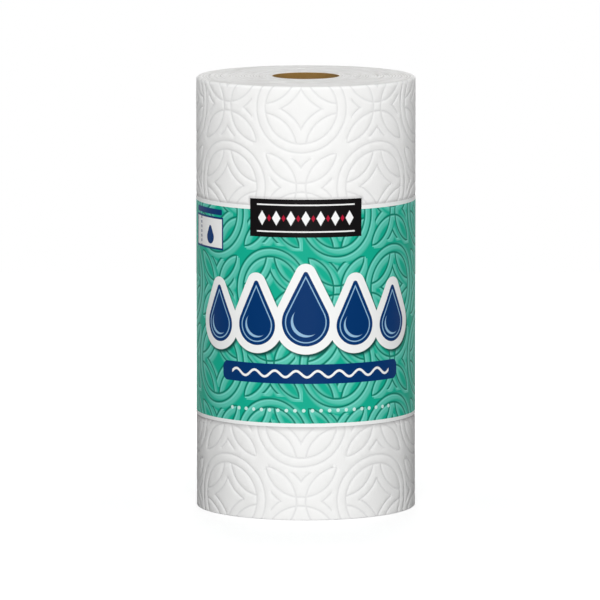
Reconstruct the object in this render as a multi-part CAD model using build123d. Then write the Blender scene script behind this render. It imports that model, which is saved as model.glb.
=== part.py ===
from build123d import *
import math
import os

# Roll of embossed paper towel on a paperboard core, with a printed band round its middle.
# The origin is the centre of the lower end and +Z runs up the core. The front of the band faces -Y.
# Lengths are in millimetres and angles in degrees.

# The roll: sheet width, outside diameter and the step at the loose edge of the last turn
roll_length = 279.4
roll_diameter = 141.9
tail_step = 0.5

# The tube that the towel is wound on
core_bore = 43.0
core_wall = 0.7

# The printed band, its slack round the roll, its glued lap at the back and its tab at the front
band_base = 60.4
band_height = 142.0
band_thickness = 0.2
band_slack = 0.1
lap_length = 16.0
tab_length = 74.8
tab_rise = 4.6

# Turns that show as one spiral groove on each end
turns_shown = 4
turn_margin = 3.0
groove_width = 0.9
groove_depth = 0.6

# Embossing of overlapping circles, drawn as straps with sunken petals between them
circle_spacing = 25.2
strap_width = 5.6
around_stretch = 1.05
top_ring_drop = 14.0
front_shift = -2.0
emboss_depth = 0.5
emboss_tuck = 1.0

roll_radius = roll_diameter / 2
core_radius = core_bore / 2 + core_wall
band_top = band_base + band_height
band_radius = roll_radius + band_slack
petal_radius = circle_spacing - strap_width / 2
row_step = 2 * circle_spacing
column_angle = math.degrees(row_step * around_stretch / roll_radius)
shift_angle = math.degrees(front_shift / roll_radius)
column_count = int(360 / column_angle)
columns = range(-(column_count // 2), column_count - column_count // 2)
front_angle = -90.0
# The loose edge runs down the back, midway between the last column of petals and the first
tail_angle = front_angle + shift_angle + (columns[0] + columns[-1]) / 2 * column_angle + 180
ON_BASE = (Align.CENTER, Align.CENTER, Align.MIN)


def tube(inner_radius, outer_radius, height):
    return extrude(Circle(outer_radius) - Circle(inner_radius), height)


def core():
    return tube(core_bore / 2, core_radius, roll_length)


def wound_section(inset=0.0):
    """The last turn seen on end: two half circles that part by one sheet at the loose edge."""
    radius = roll_radius - inset
    outside = CenterArc((0, 0), radius, 90, -180)
    inside = CenterArc((0, -tail_step / 2), radius - tail_step / 2, -90, -180)
    edge = Line((0, radius - tail_step), (0, radius))
    section = make_face(Curve() + [outside, inside, edge])
    return Rot(0, 0, tail_angle - 90) * section


def rosette():
    """Four petals, each shared by a ring of straps and one of the circles on its diagonals."""
    petals = []
    for right in (1, -1):
        for up in (1, -1):
            neighbour = Pos(right * circle_spacing, up * circle_spacing) * Circle(petal_radius)
            petals.append(Circle(petal_radius) & neighbour)
    return petals


def facing_out(column, height):
    """A plane through the core's axis that faces a column of rings."""
    around = math.radians(front_angle + shift_angle + column * column_angle)
    outward = Vector(math.cos(around), math.sin(around), 0)
    sideways = Vector(-math.sin(around), math.cos(around), 0)
    return Plane(Vector(0, 0, height), x_dir=sideways, z_dir=outward)


def emboss_cutters(low, high):
    """The petals of one bare stretch of the wall, cut off square at its two heights."""
    floor = extrude(wound_section(emboss_depth), roll_length)
    stretch = Pos(0, 0, low) * Cylinder(roll_diameter, high - low, align=ON_BASE)
    top_ring = roll_length - top_ring_drop
    first_row = math.floor((top_ring - high) / row_step)
    last_row = math.ceil((top_ring - low) / row_step)
    cutters = []
    for row in range(first_row, last_row + 1):
        ring_height = top_ring - row * row_step
        for column in columns:
            if (row + column) % 2:
                continue
            plane = facing_out(column, ring_height)
            for petal in rosette():
                prism = extrude(plane * petal, roll_diameter)
                cutter = (prism - floor) & stretch
                if cutter:
                    cutters += cutter.solids()
    return cutters


def turn_grooves():
    """A V groove along a spiral of half circles, about two centres in turn, in the upper end."""
    first_radius = core_radius + turn_margin
    pitch = (roll_radius - turn_margin - tail_step - first_radius) / turns_shown
    left = (-groove_width, groove_depth)
    right = (groove_width, groove_depth)
    profile = make_face(Polyline(left, (0, -groove_depth), right, close=True))
    grooves = []
    for half_turn in range(2 * turns_shown):
        side = 1 if half_turn % 2 == 0 else -1
        centre = -side * pitch / 4
        radius = first_radius + (half_turn + 0.5) * pitch / 2
        section = Plane.XZ * Pos(centre + side * radius, 0) * profile
        groove = revolve(section, Axis((centre, 0, 0), (0, 0, 1)), revolution_arc=180)
        grooves.append(Pos(0, 0, roll_length) * groove)
    return grooves


def towel_roll():
    roll = extrude(wound_section() - Circle(core_radius), roll_length)
    grooves = turn_grooves()
    half_height = Plane.XY.offset(roll_length / 2)
    grooves += [mirror(groove, about=half_height) for groove in grooves]
    roll -= grooves
    petals = emboss_cutters(0, band_base + emboss_tuck)
    petals += emboss_cutters(band_top - emboss_tuck, roll_length)
    return roll - petals


def band_sector(length, height, middle):
    """A wedge about the core that takes in one stretch of the band, measured round it."""
    angle = math.degrees(length / band_radius)
    at_corner = (Align.NONE, Align.NONE, Align.MIN)
    wedge = Cylinder(roll_diameter, height, arc_size=angle, align=at_corner)
    return Rot(0, 0, middle - angle / 2) * wedge


def label_band():
    outer_radius = band_radius + band_thickness
    sleeve = tube(band_radius, outer_radius, band_height)
    lap = tube(outer_radius - band_thickness / 2, outer_radius + band_thickness, band_height)
    lap &= band_sector(lap_length, band_height, front_angle + 180)
    tab_height = band_height + tab_rise
    tab = tube(band_radius, outer_radius, tab_height)
    tab &= band_sector(tab_length, tab_height, front_angle)
    return Pos(0, 0, band_base) * (sleeve + lap + tab)


os.makedirs("parts", exist_ok=True)
export_step(core(), "parts/core.step")
export_step(towel_roll(), "parts/towel_roll.step")
export_step(label_band(), "parts/label_band.step")
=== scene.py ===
"""Looks of a roll of embossed kitchen towel in its printed band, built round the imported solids.

Sizes are in millimetres in the frame of the solids: +Z runs up the core and the front faces -Y.
The studio and the camera at the end are in metres.
"""
import math

import bmesh
import bpy
import numpy as np
from mathutils import Color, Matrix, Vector, noise
from mathutils.geometry import delaunay_2d_cdt


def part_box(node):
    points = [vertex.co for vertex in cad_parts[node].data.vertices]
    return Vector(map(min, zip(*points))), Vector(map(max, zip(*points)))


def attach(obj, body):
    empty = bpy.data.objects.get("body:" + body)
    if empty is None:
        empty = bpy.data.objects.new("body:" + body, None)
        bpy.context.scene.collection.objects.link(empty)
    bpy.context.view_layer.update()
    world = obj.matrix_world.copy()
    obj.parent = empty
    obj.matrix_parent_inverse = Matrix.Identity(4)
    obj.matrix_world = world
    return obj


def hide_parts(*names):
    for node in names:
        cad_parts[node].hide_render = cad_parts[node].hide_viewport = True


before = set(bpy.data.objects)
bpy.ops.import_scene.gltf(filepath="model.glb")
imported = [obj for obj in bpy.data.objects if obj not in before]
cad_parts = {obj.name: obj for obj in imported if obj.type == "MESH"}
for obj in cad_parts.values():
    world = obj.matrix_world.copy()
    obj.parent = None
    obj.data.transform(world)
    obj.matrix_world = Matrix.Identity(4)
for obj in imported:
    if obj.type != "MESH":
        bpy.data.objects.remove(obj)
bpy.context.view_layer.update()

MM = 0.001
TURN = 2 * math.pi
# Added to the distance from a line where the line isn't drawn
FAR = 1000.0


def span(node, axis):
    """The lowest and highest reach of a solid along one axis."""
    low_corner, high_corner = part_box(node)
    return round(low_corner[axis] / MM, 2), round(high_corner[axis] / MM, 2)


# The band: printed paper with a glued lap at the back and a tab at the front
band_base, tab_top = span("label_band", 2)
band_outside = span("label_band", 0)[1]
band_thickness = 0.2
band_slack = 0.1
lap_length = 16.0
tab_length = 74.8
tab_rise = 4.6
band_top = tab_top - tab_rise

# The roll, its paperboard core and the step at the loose edge of the last turn
roll_length = span("towel_roll", 2)[1]
roll_radius = band_outside - band_thickness - band_slack
core_outside = span("core", 0)[1]
core_wall = 0.7
core_inside = core_outside - core_wall
core_gap = 0.12
tail_step = 0.5
# The upper edge is soft, and the roll's weight presses the lower one square
rim_round = 2.0
low_round = 0.5
rim_steps = 6
rim_margin = 1.45
end_reach = roll_radius - rim_margin
# The band is drawn tight: it lies flush in the soft roll, which swells out again beside its edges
band_tuck = 1.0
band_stand = 0.03
pinch_depth = 0.26
pinch_reach = 3.2
# Reach of the painted shade on the paper beside the band's edges; below the band it is wider, as the
# band's painted shadow
crease_shade = 2.3
low_crease_shade = 3.8

# Embossing of overlapping circles: a square lattice of rings, drawn as straps between two lines
circle_spacing = 25.3
strap_width = 5.7
strap_outside = circle_spacing + strap_width / 2
strap_inside = circle_spacing - strap_width / 2
row_step = 2 * circle_spacing
around_stretch = 1.047
front_shift = -3.1
top_ring_drop = 14.35
ring_height = roll_length - top_ring_drop
diamond_reach = 16.0
leaf_reach = 22.2
chevron_side = 22.95
chevron_drop = 3.4
chevron_start = 12.6
chevron_reach = 19.0
groove_half_width = 0.85
groove_depth = 0.3
pillow_depth = 0.12
pillow_reach = 4.0

# The loose edge runs down the back, to one side of its middle, and lifts where it is free of the band
tail_offset = 28.46
tail_angle = math.pi - tail_offset / roll_radius
lift_height = 1.1
lift_length = 5.0
lift_free = 45.0
lift_wave = 0.35
lift_wave_reach = 9.0


class Wire:
    """A socket of a material that takes part in Python expressions."""

    def __init__(self, finish, socket):
        self.finish = finish
        self.socket = socket

    def math(self, operation, *others):
        return self.finish.math(operation, self, *others)

    def __add__(self, other):
        return self.math("ADD", other)

    __radd__ = __add__

    def __sub__(self, other):
        return self.math("SUBTRACT", other)

    def __rsub__(self, other):
        return self.finish.math("SUBTRACT", other, self)

    def __mul__(self, other):
        return self.math("MULTIPLY", other)

    __rmul__ = __mul__

    def __truediv__(self, other):
        return self.math("DIVIDE", other)

    def __rtruediv__(self, other):
        return self.finish.math("DIVIDE", other, self)

    def __gt__(self, other):
        return self.math("GREATER_THAN", other)

    def __lt__(self, other):
        return self.math("LESS_THAN", other)


class Finish:
    """A material or a world in the making: adds nodes and links values to their sockets."""

    def __init__(self, tree):
        self.tree = tree
        self.tree.nodes.clear()

    def node(self, kind, settings=None, inputs=None, output=0):
        made = self.tree.nodes.new(kind)
        for name, value in (settings or {}).items():
            setattr(made, name, value)
        for name, value in (inputs or {}).items():
            if isinstance(value, Wire):
                self.tree.links.new(value.socket, made.inputs[name])
            else:
                made.inputs[name].default_value = value
        return Wire(self, made.outputs[output]) if made.outputs else made

    def math(self, operation, *values):
        return self.node("ShaderNodeMath", {"operation": operation}, dict(enumerate(values)))

    def mix(self, factor, first, second):
        """A colour between two others, which are the node's inputs 6 and 7 and its output 2."""
        inputs = {0: factor, 6: first, 7: second}
        return self.node("ShaderNodeMix", {"data_type": "RGBA"}, inputs, 2)

    def stretched(self, factors):
        """Where a point of the surface lies, with its metres along each axis times a factor."""
        where = self.node("ShaderNodeTexCoord", output="Object")
        return self.node("ShaderNodeVectorMath", {"operation": "MULTIPLY"}, {0: where, 1: factors})

    def place(self):
        """Where a point of the surface lies, in millimetres."""
        where = self.stretched((1 / MM, 1 / MM, 1 / MM))
        return [self.node("ShaderNodeSeparateXYZ", inputs={0: where}, output=axis) for axis in range(3)]

    def facing(self):
        """How far a face looks away from the core, times its distance from it in millimetres."""
        level = self.stretched((1 / MM, 1 / MM, 0.0))
        normal = self.node("ShaderNodeNewGeometry", output="True Normal")
        settings = {"operation": "DOT_PRODUCT"}
        return self.node("ShaderNodeVectorMath", settings, {0: level, 1: normal}, "Value")

    def cloud(self, where, detail):
        """Soft noise about a half."""
        return self.node("ShaderNodeTexNoise", inputs={"Vector": where, "Scale": 1.0, "Detail": detail})

    def speckle(self, grain, detail=2.0, stretch=(1.0, 1.0, 1.0)):
        """Noise over the surface, with grains of a size in millimetres."""
        return self.cloud(self.stretched([factor / (grain * MM) for factor in stretch]), detail)

    def streaks(self, x, y, z, detail):
        """Noise over three values of the maker's choice."""
        return self.cloud(self.node("ShaderNodeCombineXYZ", inputs={0: x, 1: y, 2: z}), detail)

    def ramp(self, value, start, end, first=0.0, last=1.0):
        """A smooth change from one value to another, and level beyond."""
        inputs = {"Value": value, "From Min": start, "From Max": end, "To Min": first, "To Max": last}
        return self.node("ShaderNodeMapRange", {"interpolation_type": "SMOOTHSTEP"}, inputs)

    def bump(self, height, distance):
        inputs = {"Height": height, "Distance": distance * MM, "Strength": 1.0}
        return self.node("ShaderNodeBump", inputs=inputs)

    def surface(self, colour, rough, normal, gloss):
        inputs = {"Base Color": colour, "Roughness": rough, "Normal": normal, "Specular IOR Level": gloss}
        shader = self.node("ShaderNodeBsdfPrincipled", inputs=inputs)
        self.node("ShaderNodeOutputMaterial", inputs={"Surface": shader})


def new_finish(name):
    material = bpy.data.materials.new(name)
    material.use_nodes = True
    return material, Finish(material.node_tree)


def ink(red, green, blue):
    """A colour, given as a screen of 256 levels shows it, in the renderer's linear values."""
    shown = Color((red / 255, green / 255, blue / 255))
    return (*shown.from_srgb_to_scene_linear(), 1.0)


def grey(level):
    return (level, level, level, 1.0)


# Maths that takes either arrays of a mesh or wires of a material

def low(first, second):
    return first.math("MINIMUM", second) if isinstance(first, Wire) else np.minimum(first, second)


def high(first, second):
    return first.math("MAXIMUM", second) if isinstance(first, Wire) else np.maximum(first, second)


def size(value):
    return value.math("ABSOLUTE") if isinstance(value, Wire) else np.abs(value)


def nearest(value):
    return value.math("ROUND") if isinstance(value, Wire) else np.round(value)


def length(across, up):
    square = across * across + up * up
    return square.math("SQRT") if isinstance(square, Wire) else np.sqrt(square)


def folded(across, up, offset):
    """Distances across and up from the nearest centre of a chequered lattice."""
    rising = (across + up) / (2 * row_step) - offset
    falling = (across - up) / (2 * row_step) - offset
    rising = rising - nearest(rising)
    falling = falling - nearest(falling)
    return size((rising + falling) * row_step), size((rising - falling) * row_step)


def circle_gap(across, up):
    """Distance on the flat sheet to the nearest line of the overlapping circles."""
    x, y = folded(across, up, 0.0)
    reach = length(x, y)
    diagonal = length(x - circle_spacing, y - circle_spacing)
    gap = low(size(reach - strap_outside), size(reach - strap_inside))
    gap = low(gap, size(diagonal - strap_inside) + (reach > strap_inside) * FAR)
    gap = low(gap, size(diagonal - strap_outside) + (reach > diamond_reach) * FAR)
    x, y = folded(across, up, 0.5)
    near = low(x, y)
    far = high(x, y)
    past_leaf = (far > leaf_reach) * FAR
    gap = low(gap, size(length(near - circle_spacing, far) - strap_inside) + past_leaf)
    gap = low(gap, size(length(near, far - circle_spacing) - strap_inside) + past_leaf)
    chevron = size(length(near - chevron_side, far + chevron_drop) - strap_outside)
    return low(gap, chevron + (far > chevron_reach) * FAR)


def band_distance(across, height):
    """How far a place on the wall lies from the band and its tab."""
    from_band = high(high(height - band_top, band_base - height), 0.0)
    from_tab = length(high(size(across) - tab_length / 2, 0.0), high(height - tab_top, 0.0))
    return low(from_band, from_tab + (height < band_base) * FAR)


# The embossed lines as points on the flat sheet

line_step = 1.0
least_arc_points = 3


def arc(centre, radius, middle, half_angle):
    """Points along an arc, from its middle angle to both sides."""
    count = max(least_arc_points, round(2 * half_angle * radius / line_step) + 1)
    angles = middle + np.linspace(-half_angle, half_angle, count)
    return np.column_stack((centre[0] + radius * np.cos(angles), centre[1] + radius * np.sin(angles)))


def ring_arcs(shift):
    """The lines of a ring, each moved sideways: its strap, its petals and its hollow diamond."""
    lines = [arc((0, 0), radius + shift, 0, math.pi) for radius in (strap_inside, strap_outside)]
    corner = circle_spacing * math.sqrt(2)
    petal_angle = math.acos(corner / 2 / strap_inside)
    diamond_angle = math.acos(circle_spacing / strap_outside) - math.pi / 4
    for quarter in range(4):
        toward = (quarter + 0.5) * TURN / 4
        centre = (corner * math.cos(toward), corner * math.sin(toward))
        back = toward + math.pi
        lines.append(arc(centre, strap_inside + shift, back, petal_angle))
        lines.append(arc(centre, strap_outside + shift, back, abs(diamond_angle)))
    return np.concatenate(lines)


def node_arcs(shift):
    """The lines between the rings: four crossing leaves and an open chevron on each."""
    leaf_angle = math.atan2(leaf_reach, circle_spacing - leaf_reach)
    low_end = chevron_start + chevron_drop
    high_end = chevron_reach + chevron_drop
    start = math.atan2(low_end, -chevron_side)
    end = math.atan2(high_end, -math.sqrt(strap_outside ** 2 - high_end ** 2))
    centre = (chevron_side, -chevron_drop)
    leaf = arc((circle_spacing, 0), strap_inside + shift, math.pi, leaf_angle)
    arm = arc(centre, strap_outside + shift, (start + end) / 2, abs(start - end) / 2)
    lines = []
    for quarter in range(4):
        toward = quarter * TURN / 4
        turned = np.array(((math.cos(toward), math.sin(toward)), (-math.sin(toward), math.cos(toward))))
        lines += [leaf @ turned, arm @ turned, (arm * (-1, 1)) @ turned]
    return np.concatenate(lines)


# Places on the wound sheet: the arc runs from the loose edge, clockwise from above

def on_circle(radius, angle):
    """Points seen from above, at an angle from the front towards +X."""
    return np.column_stack((radius * np.sin(angle), -radius * np.cos(angle)))


def at_height(flat, height):
    """Points seen from above, set at one height or each at its own."""
    return np.column_stack((flat, np.broadcast_to(height, len(flat))))


def smooth(share):
    share = np.clip(share, 0.0, 1.0)
    return share * share * (3 - 2 * share)


def wound_radius(turn):
    """The last turn draws in by one sheet over its second half."""
    fall = np.where(turn > math.pi, (1 - np.cos(turn - math.pi)) / 2, 0.0)
    return roll_radius - tail_step * fall


def sheet_across(around):
    """Distance across the pattern from its front column of rings, for a distance along the arc."""
    return (roll_radius * tail_angle - around - front_shift) / around_stretch


def tail_lift(around, height):
    """The loose edge stands a little off the roll, more towards its free corners."""
    below = smooth((band_base - height) / lift_free)
    above = smooth((height - band_top) / lift_free)
    wave = 1 + lift_wave * np.sin(height / lift_wave_reach)
    return lift_height * np.exp(-around / lift_length) * (below + above) * wave


def pinch(around, height):
    """How far the band draws the roll in."""
    across = roll_radius * tail_angle - around
    return pinch_depth * (1 - smooth(band_distance(across, height) / pinch_reach))


def sheet_drop(around, height):
    """How far the embossing sinks the sheet."""
    gap = circle_gap(sheet_across(around), height - ring_height)
    groove = np.where(gap < groove_half_width, (1 + np.cos(math.pi * gap / groove_half_width)) / 2, 0.0)
    pillow = 1 - smooth(gap / pillow_reach)
    return groove_depth * groove + pillow_depth * pillow


def wall_points(around, height, inset=0.0):
    """Points of the roll's wall, or of a surface at an inset from it."""
    turn = around / roll_radius
    radius = wound_radius(turn) + tail_lift(around, height) - inset
    radius -= sheet_drop(around, height) + pinch(around, height)
    return at_height(on_circle(radius, tail_angle - turn), height)


weld_reach = 0.002
sliver_reach = 0.0002
sharp_edge = 50.0


class Mesh:
    """Patches of points and faces that are joined where they touch."""

    def __init__(self):
        self.points = []
        self.faces = []
        self.count = 0

    def add(self, points, faces):
        self.points.append(np.asarray(points, dtype=float))
        self.faces += [[corner + self.count for corner in face] for face in faces]
        self.count += len(points)

    def add_rows(self, rows, closed=False):
        """Quads between neighbouring rows of equally many points."""
        width = len(rows[0])
        faces = []
        for row in range(len(rows) - 1):
            for column in range(width if closed else width - 1):
                beside = (column + 1) % width
                lower = row * width
                upper = lower + width
                faces.append((lower + column, lower + beside, upper + beside, upper + column))
        self.add(np.concatenate(rows), faces)

    def build(self, name, sharp=sharp_edge, thickness=0.0):
        """The finished object, welded, with its faces turned outwards and any thickness inside them."""
        points = np.concatenate(self.points)
        mesh = bpy.data.meshes.new(name)
        mesh.from_pydata((points * MM).tolist(), [], self.faces)
        work = bmesh.new()
        work.from_mesh(mesh)
        bmesh.ops.remove_doubles(work, verts=work.verts, dist=weld_reach * MM)
        bmesh.ops.dissolve_degenerate(work, edges=work.edges, dist=sliver_reach * MM)
        bmesh.ops.recalc_face_normals(work, faces=work.faces)
        if thickness:
            bmesh.ops.solidify(work, geom=work.faces[:], thickness=thickness * MM)
        work.to_mesh(mesh)
        work.free()
        mesh.shade_smooth()
        mesh.set_sharp_from_angle(angle=math.radians(sharp))
        piece = bpy.data.objects.new(name, mesh)
        bpy.context.scene.collection.objects.link(piece)
        return piece


# The towel's wall

around_count = 400
sheet_length = TURN * roll_radius
around_steps = np.linspace(0, sheet_length, around_count + 1)
line_rows = (0.0, 0.45, -0.45, 0.9, -0.9)
line_slack = 0.12
ground_step = 2.6
ground_clear = 1.6
crease_rows = (0.0, 0.8, 1.6, 2.4, 3.2)
crease_step = 1.8
edge_margin = 0.6
thin_cell = 0.4
same_point = 1e-6
hidden_rows = 4


def level_row(columns, height):
    """Places on the flat sheet at one height."""
    return np.column_stack((columns, np.full(len(columns), height)))


def upright_row(column, heights):
    """Places on the flat sheet one above the other."""
    return np.column_stack((np.full(len(heights), column), heights))


def edge_heights(lowest, highest):
    """Heights of the points down the two sides of a stretch of sheet."""
    return np.linspace(lowest, highest, round((highest - lowest) / ground_step) + 1)


def lattice_steps(first, last):
    """Columns or rows of the pattern that reach into a stretch."""
    return range(math.floor(first / row_step) - 1, math.ceil(last / row_step) + 2)


def line_points(lowest, highest):
    """Points on and beside the embossed lines of a stretch, in pattern distances."""
    columns = lattice_steps(sheet_across(sheet_length), sheet_across(0.0))
    rows = lattice_steps(lowest - ring_height, highest - ring_height)
    picked = []
    for shift in line_rows:
        tiles = (ring_arcs(shift), node_arcs(shift))
        for column in columns:
            for row in rows:
                points = tiles[(column + row) % 2] + (column * row_step, row * row_step)
                gap = circle_gap(points[:, 0], points[:, 1])
                picked.append(points[np.abs(gap - abs(shift)) < line_slack])
    return np.concatenate(picked)


def ground_points(lowest, highest):
    """An even scatter between the embossed lines, in pattern distances."""
    columns = np.arange(sheet_across(sheet_length), sheet_across(0.0), ground_step)
    rows = np.arange(lowest - ring_height, highest - ring_height, ground_step)
    across, up = np.meshgrid(columns, rows)
    across = across + (np.arange(len(rows)) % 2)[:, None] * ground_step / 2
    points = np.column_stack((across.ravel(), up.ravel()))
    gap = circle_gap(points[:, 0], points[:, 1])
    return points[gap > ground_clear]


def crease_points(lowest, highest):
    """Rows of points beside the edges of the band and its tab, in pattern distances."""
    half_tab = tab_length / 2
    columns = np.arange(0.0, sheet_length, crease_step)
    tab_columns = np.arange(-half_tab, half_tab + crease_step, crease_step)
    rows = []
    for out in crease_rows:
        rows += [level_row(columns, edge) for edge in (band_base - out, band_top + out)]
        tab_side = np.arange(band_top, tab_top + out, crease_step / 2)
        tab = [level_row(tab_columns, tab_top + out)]
        tab += [upright_row(edge, tab_side) for edge in (-half_tab - out, half_tab + out)]
        rows.append(np.concatenate(tab) * (-1, 1) + (roll_radius * tail_angle, 0))
    points = np.concatenate(rows)
    points = points[(points[:, 1] > lowest) & (points[:, 1] < highest)]
    return np.column_stack((sheet_across(points[:, 0]), points[:, 1] - ring_height))


def thinned(points):
    """The first point in each cell of a fine grid."""
    cells = np.floor(points / thin_cell).astype(np.int64)
    first = np.unique(cells, axis=0, return_index=True)[1]
    return points[np.sort(first)]


def triangulated(points, edges=()):
    """Flat points and the faces between them, which keep to the given edges."""
    vectors = [Vector(point) for point in points]
    flat, _, faces, *_ = delaunay_2d_cdt(vectors, list(edges), [], 0, same_point)
    return np.array(flat), faces


def embossed_wall(mesh, lowest, highest):
    """One bare stretch of the last turn, with its points gathered along the embossed lines."""
    parts = (line_points, crease_points, ground_points)
    pattern = np.concatenate([part(lowest, highest) for part in parts])
    around = roll_radius * tail_angle - front_shift - pattern[:, 0] * around_stretch
    points = np.column_stack((around, pattern[:, 1] + ring_height))
    inside = (points[:, 0] > edge_margin) & (points[:, 0] < sheet_length - edge_margin)
    inside &= (points[:, 1] > lowest + edge_margin) & (points[:, 1] < highest - edge_margin)
    sides = edge_heights(lowest, highest)[1:-1]
    border = [level_row(around_steps, height) for height in (lowest, highest)]
    border += [upright_row(side, sides) for side in (0.0, sheet_length)]
    flat, faces = triangulated(np.concatenate(border + [thinned(points[inside])]))
    mesh.add(wall_points(flat[:, 0], flat[:, 1]), faces)


def tail_edge(mesh, heights):
    """The loose edge: a narrow face from the sheet below to the last turn."""
    below = wall_points(np.full(len(heights), sheet_length), heights)
    above = wall_points(np.zeros(len(heights)), heights)
    mesh.add_rows([below, above])


def rim_rows(top):
    """Rows that round the edge of the sheet over, from the wall to an end of the roll."""
    rounding = rim_round if top else low_round
    edge = np.full(around_count + 1, roll_length - rounding if top else rounding)
    rows = []
    for bend in np.linspace(0.0, math.pi / 2, rim_steps):
        inset = rounding * (1 - math.cos(bend))
        depth = rounding * (1 - math.sin(bend))
        points = wall_points(around_steps, edge, inset)
        points[:, 2] = roll_length - depth if top else depth
        rows.append(points)
    return rows


# The towel's ends, where the turns show as a spiral of uneven clefts

turns_shown = 24
turn_margin = 0.9
turn_points = 200
turn_depth = 0.6
turn_sway = 1.5
turn_change = 0.7
cleft_mean = 0.5
cleft_swing = 1.1
cleft_least = 0.05
opening = core_outside + core_gap
bore_points = 200
bore_ring = on_circle(opening, np.arange(bore_points) * TURN / bore_points)
bore_flats = opening * math.cos(math.pi / bore_points)
turn_pitch = (roll_radius - rim_round - opening - turn_margin) / turns_shown
rim_clear = turn_pitch / 3
least_rim = roll_radius - rim_round - tail_step - groove_depth - pillow_depth


def nearest_cleft(reach, angle):
    """How many turns off the nearest cleft of an end lies, and how far along the spiral it is."""
    out = (reach - opening - turn_margin) / turn_pitch
    phase = out - (tail_angle - angle) / TURN
    offset = phase - nearest(phase)
    return offset, out - offset


def end_drop(points):
    """How far an end sinks between its turns, unevenly as the sheets lie."""
    reach = np.hypot(points[:, 0], points[:, 1])
    offset, spiral = nearest_cleft(reach, np.arctan2(points[:, 0], -points[:, 1]))
    cleft = ((1 + np.cos(TURN * offset)) / 2) ** 2
    sway = points * turn_sway / reach[:, None]
    loose = np.array([noise.noise(place) for place in at_height(sway, spiral * turn_change)])
    share = np.clip(cleft_mean + cleft_swing * loose, cleft_least, 1.0)
    fade = smooth((reach - opening) / turn_margin) * smooth((least_rim - reach) / turn_margin)
    return turn_depth * fade * cleft * share


def loop_edges(first, count):
    """Edges round a closed loop of points, counted from its first."""
    return [(first + index, first + (index + 1) % count) for index in range(count)]


def roll_end(mesh, rim, top):
    """One end of the roll, from the rim of the last turn to the core, wound as one spiral."""
    rim_reach = np.hypot(rim[:, 0], rim[:, 1])
    turns = np.arange(turn_points) / turn_points
    angle = tail_angle - turns * TURN
    limit = np.interp(turns * sheet_length, around_steps, rim_reach) - rim_clear
    rings = []
    for half_turn in range(2 * turns_shown):
        radius = opening + turn_margin + turn_pitch * (half_turn / 2 + turns)
        rings.append(on_circle(radius, angle)[radius < limit])
    edges = loop_edges(0, bore_points) + loop_edges(bore_points, around_count + 1)
    flat, faces = triangulated(np.concatenate([bore_ring, rim[:, :2]] + rings), edges)
    middles = np.array([flat[list(face)].mean(axis=0) for face in faces])
    reach = np.hypot(middles[:, 0], middles[:, 1])
    turn = np.mod(tail_angle - np.arctan2(middles[:, 0], -middles[:, 1]), TURN) / TURN
    limit = np.interp(turn * sheet_length, around_steps, rim_reach)
    kept = [face for face, out, most in zip(faces, reach, limit) if bore_flats < out < most]
    drop = end_drop(flat)
    mesh.add(at_height(flat, roll_length - drop if top else drop), kept)


def towel():
    """Two embossed stretches, the hidden one between them, the rounded edges, the ends and the bore."""
    mesh = Mesh()
    under_low = band_base + band_tuck
    under_high = band_top - band_tuck
    for lowest, highest in ((low_round, under_low), (under_high, roll_length - rim_round)):
        embossed_wall(mesh, lowest, highest)
        tail_edge(mesh, edge_heights(lowest, highest))
    hidden = np.linspace(under_low, under_high, hidden_rows)
    mesh.add_rows([wall_points(around_steps, np.full(around_count + 1, height)) for height in hidden])
    tail_edge(mesh, hidden)
    for top in (False, True):
        rows = rim_rows(top)
        mesh.add_rows(rows)
        mesh.add_rows([np.array([row[end] for row in rows]) for end in (-1, 0)])
        roll_end(mesh, rows[-1], top)
    mesh.add_rows([at_height(bore_ring, height) for height in (0.0, roll_length)], closed=True)
    return mesh.build("towel")


# The core: a tube of paperboard strips wound on a slant

strip_pitch = 84.0
seam_depth = 0.14
ply_rise = 0.08
ply_fade = 5.0
core_points = 144
core_rows = 70
core_chamfer = 0.15
core_sharp = 35.0


def core():
    """A tube with a seam that winds up its inside, where one strip stands a little proud of the next."""
    columns = np.arange(core_points)
    seam = np.where(columns == 0, seam_depth, 0.0)
    proud = np.where(columns > 0, ply_rise * np.exp(-columns / ply_fade), 0.0)
    recess = seam - proud

    def row(radius, height, share):
        angle = TURN * (columns / core_points + height / strip_pitch)
        return at_height(on_circle(radius + recess * share, angle), height)

    heights = np.linspace(core_chamfer, roll_length - core_chamfer, core_rows)
    rows = [row(core_inside, height, 1.0) for height in heights]
    rows.append(row(core_inside + core_chamfer, roll_length, 0.5))
    rows.append(row(core_outside - core_chamfer, roll_length, 0.0))
    rows += [row(core_outside, height, 0.0) for height in heights[::-1]]
    rows.append(row(core_outside - core_chamfer, 0.0, 0.0))
    rows.append(row(core_inside + core_chamfer, 0.0, 0.5))
    rows.append(rows[0])
    mesh = Mesh()
    mesh.add_rows(rows, closed=True)
    return mesh.build("core_tube", sharp=core_sharp)


# The band: one strip that laps over itself at the back
# Its waves have a height, a reach round the band, a reach up it and a layer of noise

lap_ramp = 4.0
lap_glue = 0.03
tail_bridge = 12.0
band_column_step = 1.6
band_row_step = 4.0
tab_rows = 3
paper_wave = (0.04, 30.0, 40.0, 2.0)
paper_wave_mean = 0.5
edge_wave = (0.08, 17.0, 300.0, 8.0)
edge_wave_mean = 0.6
edge_wave_reach = 5.0


def band_ground(angle):
    """The radius of the band: it follows the last turn and bridges the step at its loose edge."""
    turn = np.mod(tail_angle - angle, TURN)
    bridge = smooth((turn - TURN) * roll_radius / tail_bridge + 1)
    return wound_radius(turn) + tail_step * bridge + band_stand


def band_wave(along, height, wave, mean):
    """How far the paper stands out along one row of the band."""
    rise, around, up, layer = wave
    drawn = np.array([noise.noise((x / around, height / up, layer)) for x in along])
    return rise * (mean + drawn)


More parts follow.
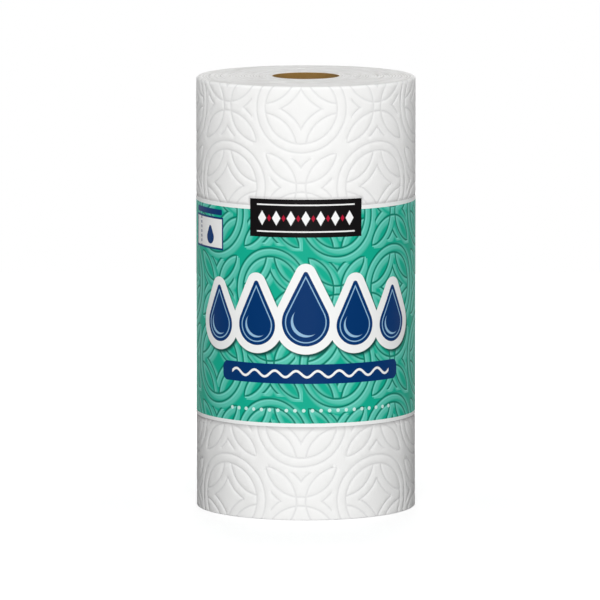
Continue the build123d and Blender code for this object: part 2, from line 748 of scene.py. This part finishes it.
def band():
    """A strip from lap to lap, with its waves, its flaring edges and its tab."""
    half_strip = math.pi * band_outside + lap_length / 2
    half_tab = tab_length / 2
    side_columns = round((half_strip - half_tab) / band_column_step)
    columns = np.concatenate((
        np.linspace(-half_strip, -half_tab, side_columns),
        np.linspace(-half_tab, half_tab, round(tab_length / band_column_step))[1:-1],
        np.linspace(half_tab, half_strip, side_columns),
    ))
    lap_start = half_strip - lap_length
    lapped = smooth((columns - lap_start + lap_ramp) / lap_ramp) * (band_thickness + lap_glue)

    def row(along, lift, height):
        angle = along / band_outside
        to_edge = max(min(height - band_base, band_top - height), 0.0)
        flare = math.exp(-to_edge / edge_wave_reach) * band_wave(along, height, edge_wave, edge_wave_mean)
        radius = band_ground(angle) + lift + np.maximum(flare, 0.0)
        radius += band_wave(along, height, paper_wave, paper_wave_mean)
        return at_height(on_circle(radius, angle), height)

    mesh = Mesh()
    heights = np.linspace(band_base, band_top, round((band_top - band_base) / band_row_step) + 1)
    mesh.add_rows([row(columns, lapped, height) for height in heights])
    on_tab = np.abs(columns) <= half_tab
    tab_heights = np.linspace(band_top, tab_top, tab_rows)
    mesh.add_rows([row(columns[on_tab], lapped[on_tab], height) for height in tab_heights])
    return mesh.build("band", thickness=band_thickness)


# Finishes: a fibre or a patch is a noise's grain, its detail and its stretch along the axes,
# and a ramp is where a change starts and ends, with the values before and after it

def around_front(x, y):
    """Angle from the front of the roll, towards +X."""
    return x.math("ARCTAN2", y * -1.0)


# Towel paper

towel_white = ink(247, 247, 246)
towel_cloud = ink(244, 244, 243)
# Painted shade: the paper is greyed along the embossed grooves
towel_line_shade = ink(226, 226, 226)
# Painted shade beside the band's edges, and the band's painted shadow below it
towel_crease_shade = ink(204, 203, 203)
# The ends are painted greyer than the wall, as painted shade on them; the sheets' streaks change between
# these two greys
shaded_end_pale = ink(240, 240, 239)
shaded_end_dull = ink(228, 227, 225)
# Painted shade in the clefts between the turns on the ends
end_cleft_shade = ink(203, 202, 199)
towel_fibre = (0.5, 3.0, (1.0, 1.0, 0.4))
towel_patch = (11.0, 2.0)
towel_bump = 0.12
towel_rough = (0.3, 0.7, 0.88, 1.0)
towel_gloss = 0.15
line_shade_ramp = (0.25, 0.85, 1.0, 0.0)
line_shade_share = 0.7
crease_shade_share = 0.9
cleft_shade_ramp = (0.02, 0.22, 1.0, 0.0)
loose_ramp = (0.35, 0.65, 0.15, 1.0)
sheet_ramp = (0.35, 0.7)
sheet_sway = 4.0
sheet_streak = 0.9
sheet_detail = 2.0


def wound_end(finish, x, y, reach, angle):
    """The cut edges of the sheets on an end: their streaks, and their colour, painted greyer than the
    wall as shade, with painted shade in the clefts.
    """
    offset, spiral = nearest_cleft(reach, angle)
    side = x / reach
    back = y / reach
    loose = finish.streaks(side * turn_sway, back * turn_sway, spiral * turn_change, 0.0)
    # Painted shade in the clefts between the turns
    cleft = finish.ramp(size(offset), *cleft_shade_ramp) * finish.ramp(loose, *loose_ramp)
    sheets = finish.streaks(side * sheet_sway, back * sheet_sway, reach / sheet_streak, sheet_detail)
    colour = finish.mix(finish.ramp(sheets, *sheet_ramp), shaded_end_pale, shaded_end_dull)
    return sheets, finish.mix(cleft, colour, end_cleft_shade)


def towel_finish():
    """Soft white paper, with painted shade along its embossed lines and beside the band, and streaked
    ends painted greyer than the wall.
    """
    material, finish = new_finish("towel_paper_embossed")
    x, y, z = finish.place()
    reach = length(x, y)
    angle = around_front(x, y)
    across = (angle - (angle > tail_angle) * TURN) * roll_radius
    on_end = reach < end_reach
    sheets, shaded_end_colour = wound_end(finish, x, y, reach, angle)
    colour = finish.mix(finish.speckle(*towel_patch), towel_cloud, towel_white)
    gap = circle_gap((across - front_shift) / around_stretch, z - ring_height)
    # Painted shade along the embossed grooves
    colour = finish.mix(finish.ramp(gap, *line_shade_ramp) * line_shade_share, colour, towel_line_shade)
    # Painted shade beside the band, reaching further below it as a painted shadow
    shade_reach = crease_shade + (z < band_base) * (low_crease_shade - crease_shade)
    painted_crease_shade = finish.ramp(band_distance(across, z), 0.0, shade_reach, crease_shade_share, 0.0)
    colour = finish.mix(painted_crease_shade, colour, towel_crease_shade)
    # The ends take their own greys, painted darker than the wall as shade
    colour = finish.mix(on_end, colour, shaded_end_colour)
    fibres = finish.speckle(*towel_fibre)
    normal = finish.bump(fibres - sheets * on_end, towel_bump)
    finish.surface(colour, finish.ramp(fibres, *towel_rough), normal, towel_gloss)
    return material


# Paperboard

board_dark = ink(121, 93, 46)
board_pale = ink(147, 115, 62)
board_warm = ink(136, 103, 50)
board_seam = ink(92, 72, 38)
board_cut = ink(224, 211, 194)
board_fibre = (0.9, 5.0, (1.0, 1.0, 0.5))
board_patch = (12.0, 3.0)
board_bump = 0.08
board_rough = (0.3, 0.7, 0.78, 0.92)
board_gloss = 0.3
patch_share = 0.5
seam_ramp = (0.492, 0.499)
seam_share = 0.7
cut_inset = 0.08
cut_depth = 0.2


def board_finish():
    """Brown board with a dark slanted seam and a pale cut edge at each end."""
    material, finish = new_finish("paperboard_kraft")
    x, y, z = finish.place()
    at_end = size(z - roll_length / 2) > roll_length / 2 - cut_depth
    cut_edge = (length(x, y) > core_inside + cut_inset) * at_end
    strip = (around_front(x, y) / TURN - z / strip_pitch).math("FRACT")
    seam = finish.ramp(size(strip - 0.5), *seam_ramp)
    fibres = finish.speckle(*board_fibre)
    patches = finish.speckle(*board_patch)
    colour = finish.mix(fibres, board_dark, board_pale)
    colour = finish.mix(patches * patch_share, colour, board_warm)
    colour = finish.mix(seam * seam_share, colour, board_seam)
    colour = finish.mix(cut_edge, colour, board_cut)
    normal = finish.bump(fibres, board_bump)
    finish.surface(colour, finish.ramp(patches, *board_rough), normal, board_gloss)
    return material


# Printed paper: places are distances round the band from its front and heights above the floor

white_paper = ink(246, 247, 246)
navy = ink(0, 50, 105)
pale_blue = ink(150, 190, 220)
band_fibre = (0.6, 3.0)
band_bump = 0.02
band_rough = (0.3, 0.7, 0.44, 0.56)
band_gloss = 0.06
outward_least = 0.5
edge_blur = 0.25
border_low = 2.3
border_high = 2.5
# The green ground: smaller circles than the embossed ones, with a dark line and two light slopes each
ground_green = ink(18, 172, 143)
light_green = ink(120, 217, 201)
line_green = ink(0, 121, 99)
print_scale = 0.96
print_stretch = 0.9
print_ring = (64.2, 148.5)
print_half_width = 0.65
print_blur = 0.8
bevel_offset = (0.95, -0.85)
bevel_ramp = (0.3, 1.7, 0.95, 0.0)
slope_offset = (2.2, -1.9)
slope_ramp = (0.6, 3.2, 0.55, 0.0)
# Drops: place across, height and radius of the belly, and rise to the tip
middle_drop = (0.0, 128.0, 15.5, 31.0)
side_drops = ((33.0, 125.5, 13.0, 27.0), (64.0, 124.5, 12.0, 23.0))
drops = [middle_drop]
for out, *form in side_drops:
    drops += [(-out, *form), (out, *form)]
drop_tip = 1.6
outline_width = 5.2
shadow_green = ink(8, 66, 60)
shadow_offset = (1.3, -1.8)
shadow_blur = 1.8
shadow_share = 0.95
inline_inset = 2.4
inline_half_width = 0.35
# The crescent of light in a drop, in shares of the belly's radius
crescent_outer = 0.62
crescent_inner = 0.66
crescent_shift = (0.13, 0.12)
# The ribbon, the white wave along it and the row of pale dots under it
ribbon_ends = (-60.1, 68.6)
ribbon_heights = (88.3, 100.9)
ribbon_corner = 4.4
ribbon_middle = sum(ribbon_ends) / 2
waves_shown = 8
wave_length = 14.0
wave_rise = 2.0
wave_half_width = 0.75
pale_green = ink(206, 238, 231)
dots_shown = 21
dot_row = 71.0
dot_step = 5.6
dot_radius = 1.15
# The small panel with its header, its dashed line and its drop
panel_ends = (-97.6, -60.0)
panel_heights = (171.4, 192.6)
panel_corner = 0.6
panel_frame = 1.3
panel_drop = (-74.5, 179.0, 4.4, 6.0)
header_ends = (-96.4, -61.2)
header_heights = (193.9, 197.6)
header_corner = 1.0
tear_line = -88.0
tear_half_width = 0.7
tear_dash = 3.0
dash_half_share = 0.3
# The plate on the tab: a row of white lozenges with red ones between them, between two white rules
plate_black = ink(5, 3, 4)
plate_red = ink(178, 24, 52)
plate_base = 182.6
rule_heights = (186.2, 203.4)
rule_half_width = 0.45
rule_half_length = 32.4
lozenge_row = 194.8
lozenge_step = 9.6
lozenge_steps = 3
lozenge_half = (2.8, 4.8)
small_lozenge_half = (1.3, 2.2)


def inked(gap, blur=edge_blur):
    """One inside an outline and nought outside, with a soft edge."""
    settings = {"operation": "SUBTRACT", "use_clamp": True}
    return gap.finish.node("ShaderNodeMath", settings, {0: 0.5, 1: gap / blur})


def repeat(value, step, shift=0.0):
    """Distance from the nearest of evenly spaced places."""
    steps = value / step - shift
    return (steps - nearest(steps)) * step


def print_gap(across, up):
    """Distance to the nearest line of the printed circles."""
    pattern_across = (across - print_ring[0]) / (print_stretch * print_scale)
    return circle_gap(pattern_across, (up - print_ring[1]) / print_scale) * print_scale


def block_gap(across, up, ends, heights, corner):
    """Distance to the outline of a block with rounded corners."""
    half_width = (ends[1] - ends[0]) / 2 - corner
    half_height = (heights[1] - heights[0]) / 2 - corner
    x = size(across - sum(ends) / 2) - half_width
    y = size(up - sum(heights) / 2) - half_height
    return length(high(x, 0.0), high(y, 0.0)) + low(high(x, y), 0.0) - corner


def drop_gap(across, up, drop):
    """Distance to the outline of a water drop: two circles and their common tangents."""
    middle, base, radius, tall = drop
    x = size(across - middle)
    y = up - base
    lean = (radius - drop_tip) / tall
    upright = math.sqrt(1 - lean * lean)
    along = y * upright - x * lean
    belly = along < 0.0
    tip = along > upright * tall
    round_gap = (length(x, y) - radius) * belly + (length(x, y - tall) - drop_tip) * tip
    flank_gap = x * upright + y * lean - radius
    return round_gap + flank_gap * (1 - belly - tip)


def crescent_gap(across, up, drop):
    """Distance to a crescent of light low on the left of a water drop."""
    middle, base, radius, _ = drop
    x = across - middle
    y = up - base
    lit = length(x, y) - crescent_outer * radius
    unlit = length(x - crescent_shift[0] * radius, y - crescent_shift[1] * radius)
    return high(lit, crescent_inner * radius - unlit)


def drops_gap(across, up, outline=drop_gap):
    """Distance to the nearest of the drops, or of their crescents."""
    gap = outline(across, up, drops[0])
    for drop in drops[1:]:
        gap = low(gap, outline(across, up, drop))
    return gap


def wave_gap(across, up):
    """Distance to the white wave along the ribbon."""
    along = across - ribbon_middle
    angle = along * (TURN / wave_length)
    rise = up - sum(ribbon_heights) / 2 - angle.math("SINE") * wave_rise
    slope = angle.math("COSINE") * (wave_rise * TURN / wave_length)
    past_end = size(along) - waves_shown / 2 * wave_length
    return high(size(rise) / length(slope, 1.0) - wave_half_width, past_end)


def dots_gap(across, up):
    """Distance to the row of dots under the ribbon."""
    along = across - ribbon_middle
    past_end = size(along) - dots_shown / 2 * dot_step
    return high(length(repeat(along, dot_step), up - dot_row) - dot_radius, past_end)


def lozenge_gap(across, up, half):
    """Distance to the outline of an upright lozenge."""
    slant = math.hypot(*half)
    return (size(across) * half[1] + size(up) * half[0] - half[0] * half[1]) / slant


def plate_marks(across, up):
    """Distances to the white and to the red marks on the plate."""
    row = up - lozenge_row
    white = lozenge_gap(repeat(across, lozenge_step), row, lozenge_half)
    for height in rule_heights:
        white = low(white, size(up - height) - rule_half_width)
    white = high(white, size(across) - rule_half_length)
    red = lozenge_gap(repeat(across, lozenge_step, 0.5), row, small_lozenge_half)
    return white, high(red, size(across) - lozenge_steps * lozenge_step)


def print_ground(finish, across, up):
    line = inked(print_gap(across, up) - print_half_width, print_blur)
    bevel = print_gap(across - bevel_offset[0], up - bevel_offset[1])
    slope = print_gap(across - slope_offset[0], up - slope_offset[1])
    gleam = high(finish.ramp(bevel, *bevel_ramp), finish.ramp(slope, *slope_ramp))
    colour = finish.mix(gleam, ground_green, light_green)
    return finish.mix(line, colour, line_green)


def print_drops(finish, colour, across, up):
    gap = drops_gap(across, up)
    cast = drops_gap(across - shadow_offset[0], up - shadow_offset[1])
    colour = finish.mix(inked(cast - outline_width, shadow_blur) * shadow_share, colour, shadow_green)
    colour = finish.mix(inked(gap - outline_width), colour, white_paper)
    colour = finish.mix(inked(gap), colour, navy)
    inline = inked(size(gap + inline_inset) - inline_half_width)
    crescent = inked(drops_gap(across, up, crescent_gap))
    return finish.mix(high(inline, crescent), colour, pale_blue)


def print_ribbon(finish, colour, across, up):
    ribbon = block_gap(across, up, ribbon_ends, ribbon_heights, ribbon_corner)
    colour = finish.mix(inked(ribbon), colour, navy)
    colour = finish.mix(inked(wave_gap(across, up)), colour, white_paper)
    return finish.mix(inked(dots_gap(across, up)), colour, pale_green)


def print_panel(finish, colour, across, up):
    header = block_gap(across, up, header_ends, header_heights, header_corner)
    panel = block_gap(across, up, panel_ends, panel_heights, panel_corner)
    colour = finish.mix(inked(low(header, panel)), colour, navy)
    colour = finish.mix(inked(panel + panel_frame), colour, white_paper)
    dash = size((up / tear_dash).math("FRACT") - 0.5) < dash_half_share
    tear = inked(size(across - tear_line) - tear_half_width) * dash * inked(panel)
    drop = inked(drop_gap(across, up, panel_drop))
    return finish.mix(high(tear, drop), colour, navy)


def print_borders(finish, colour, across, up):
    below = up < band_base + border_low
    above = up > band_top - border_high
    return finish.mix(high(below, above), colour, white_paper)


def print_plate(finish, colour, across, up):
    plate = (size(across) < tab_length / 2) * (up > plate_base)
    white_marks, red_marks = plate_marks(across, up)
    plate_colour = finish.mix(inked(white_marks), plate_black, white_paper)
    plate_colour = finish.mix(inked(red_marks), plate_colour, plate_red)
    return finish.mix(plate, colour, plate_colour)


def band_finish():
    """Smooth paper with its print in layers, and white on its inner face and its cut edges."""
    material, finish = new_finish("printed_paper_band")
    x, y, z = finish.place()
    angle = around_front(x, y)
    lap_angle = lap_length / 2 / band_outside
    across = (angle + (angle < lap_angle - math.pi) * TURN) * band_outside
    colour = print_ground(finish, across, z)
    for layer in (print_drops, print_ribbon, print_panel, print_borders, print_plate):
        colour = layer(finish, colour, across, z)
    outward = finish.facing() / length(x, y) > outward_least
    colour = finish.mix(outward, white_paper, colour)
    fibres = finish.speckle(*band_fibre)
    normal = finish.bump(fibres, band_bump)
    finish.surface(colour, finish.ramp(fibres, *band_rough), normal, band_gloss)
    return material


# The pieces

def dress(piece, node, material):
    piece.data.materials.append(material)
    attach(piece, "root")
    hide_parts(node)


dress(towel(), "towel_roll", towel_finish())
dress(core(), "core", board_finish())
dress(band(), "label_band", band_finish())


# The studio, in metres and watts

floor_reach = 1.2
floor_pale = 0.95
floor_bounce = 0.15
floor_glow = 1.32
floor_shadow = 0.5
shadow_reach = (0.1, 0.45)
world_light = 0.01
# Softboxes: place, width and power, for two by themselves and for pairs on both sides of the roll
single_softboxes = {
    "front": ((0.0, -3.2, 0.95), 1.7, 107.0),
    "rear": ((0.0, 3.2, 0.82), 1.7, 93.0),
}
paired_softboxes = {
    "side": ((0.5, 0.1, 0.5), 0.25, 0.36),
    "high": ((0.5, -0.15, 0.8), 0.3, 0.62),
    "near": ((0.3, 0.05, 0.55), 0.2, 0.22),
}
lamp_aim = Vector((0.0, 0.0, roll_length * MM / 2))

# The camera of the photograph, whose frame is 600 pixels square
frame_pixels = 600
axis_pixel = 305.8
camera_place = (0.0, -5.0985, 0.7903)
camera_pitch = 7.342
camera_focal_pixels = 7934
camera_sensor = 36.0


def camera_rays(finish):
    """One for rays from the camera, and for those that meet a mirror or glass on the way."""
    seen = finish.node("ShaderNodeLightPath", output="Is Camera Ray")
    glossy = finish.node("ShaderNodeLightPath", output="Is Glossy Ray")
    through = finish.node("ShaderNodeLightPath", output="Is Transmission Ray")
    return high(high(seen, glossy), through)


def studio_world():
    """A white backdrop that hardly lights the roll."""
    world = bpy.data.worlds.new("studio")
    bpy.context.scene.world = world
    world.use_nodes = True
    finish = Finish(world.node_tree)
    strength = camera_rays(finish) * (1.0 - world_light) + world_light
    shade = finish.node("ShaderNodeBackground", inputs={"Color": grey(1.0), "Strength": strength})
    finish.node("ShaderNodeOutputWorld", inputs={"Surface": shade})


def studio_floor():
    """A pale floor that takes the roll's shadow and runs out into the white backdrop."""
    mesh = bpy.data.meshes.new("floor")
    corners = [(x * floor_reach, y * floor_reach, 0.0) for x, y in ((-1, -1), (1, -1), (1, 1), (-1, 1))]
    mesh.from_pydata(corners, [], [(0, 1, 2, 3)])
    floor = bpy.data.objects.new("floor", mesh)
    bpy.context.scene.collection.objects.link(floor)
    material, finish = new_finish("floor_white")
    x, y, _ = finish.place()
    near = finish.ramp(length(x, y) * MM, *shadow_reach, floor_shadow, 0.0)
    rays = camera_rays(finish)
    tone = finish.mix(rays, grey(floor_bounce), grey(floor_pale))
    matt = finish.node("ShaderNodeBsdfDiffuse", inputs={"Color": tone})
    glow = finish.node("ShaderNodeEmission", inputs={"Color": grey(1.0), "Strength": floor_glow})
    shade = finish.node("ShaderNodeMixShader", inputs={0: rays * (1 - near), 1: matt, 2: glow})
    finish.node("ShaderNodeOutputMaterial", inputs={"Surface": shade})
    mesh.materials.append(material)


def softbox(name, place, width, power):
    data = bpy.data.lights.new(name, "AREA")
    data.shape = "DISK"
    data.size = width
    data.energy = power
    lamp = bpy.data.objects.new(name, data)
    lamp.location = place
    lamp.rotation_euler = (lamp_aim - Vector(place)).to_track_quat("-Z", "Y").to_euler()
    bpy.context.scene.collection.objects.link(lamp)


def studio_lamps():
    for name, (place, width, power) in single_softboxes.items():
        softbox(name, place, width, power)
    for name, ((x, y, z), width, power) in paired_softboxes.items():
        softbox("left_" + name, (-x, y, z), width, power)
        softbox("right_" + name, (x, y, z), width, power)


def photo_camera():
    data = bpy.data.cameras.new("camera")
    data.sensor_width = camera_sensor
    data.lens = camera_focal_pixels * camera_sensor / frame_pixels
    data.shift_x = (frame_pixels / 2 - axis_pixel) / frame_pixels
    camera = bpy.data.objects.new("camera", data)
    camera.location = camera_place
    camera.rotation_euler = (math.radians(90 - camera_pitch), 0.0, 0.0)
    bpy.context.scene.collection.objects.link(camera)
    bpy.context.scene.camera = camera


studio_world()
studio_floor()
studio_lamps()
photo_camera()
bpy.context.scene.view_settings.view_transform = "Standard"
